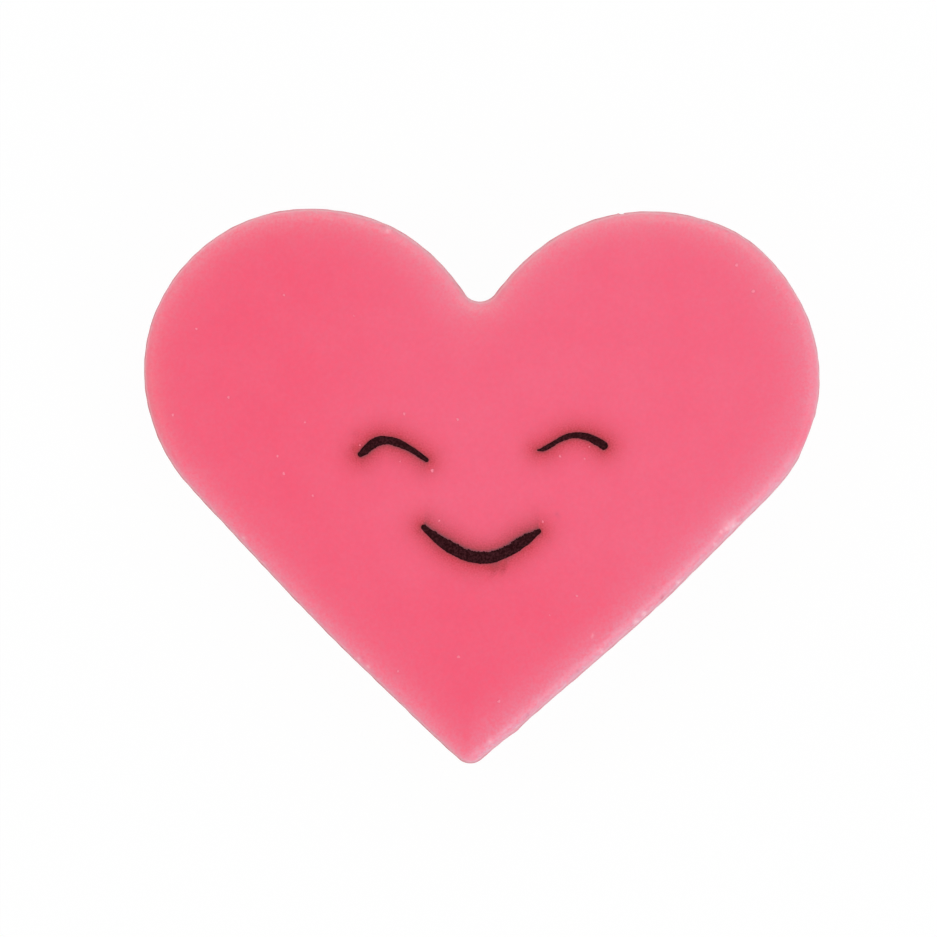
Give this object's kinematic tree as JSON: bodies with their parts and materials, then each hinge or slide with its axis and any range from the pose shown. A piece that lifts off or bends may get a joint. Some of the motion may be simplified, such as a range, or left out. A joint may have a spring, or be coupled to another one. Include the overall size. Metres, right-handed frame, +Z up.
{
  "type": "rubber eraser",
  "caption": "Heart-shaped novelty rubber eraser with rounded edges, a flat back and a printed smiling face",
  "frame": {"origin": "on the underside, in the middle of the heart's length and width", "axes": "+Z up out of the printed face, +X to the right across the two lobes, +Y from the tip towards the lobes"},
  "size_m": [0.04, 0.0328, 0.0081],
  "materials": {
    "pink_rubber": "soft translucent moulded rubber, satin, slightly frosted along the edges",
    "black_ink": "matt printed ink film"
  },
  "bodies": {
    "root": {"eraser_body": "pink_rubber", "left_eye_line": "black_ink", "right_eye_line": "black_ink", "smile_line": "black_ink"}
  },
  "joints": []
}
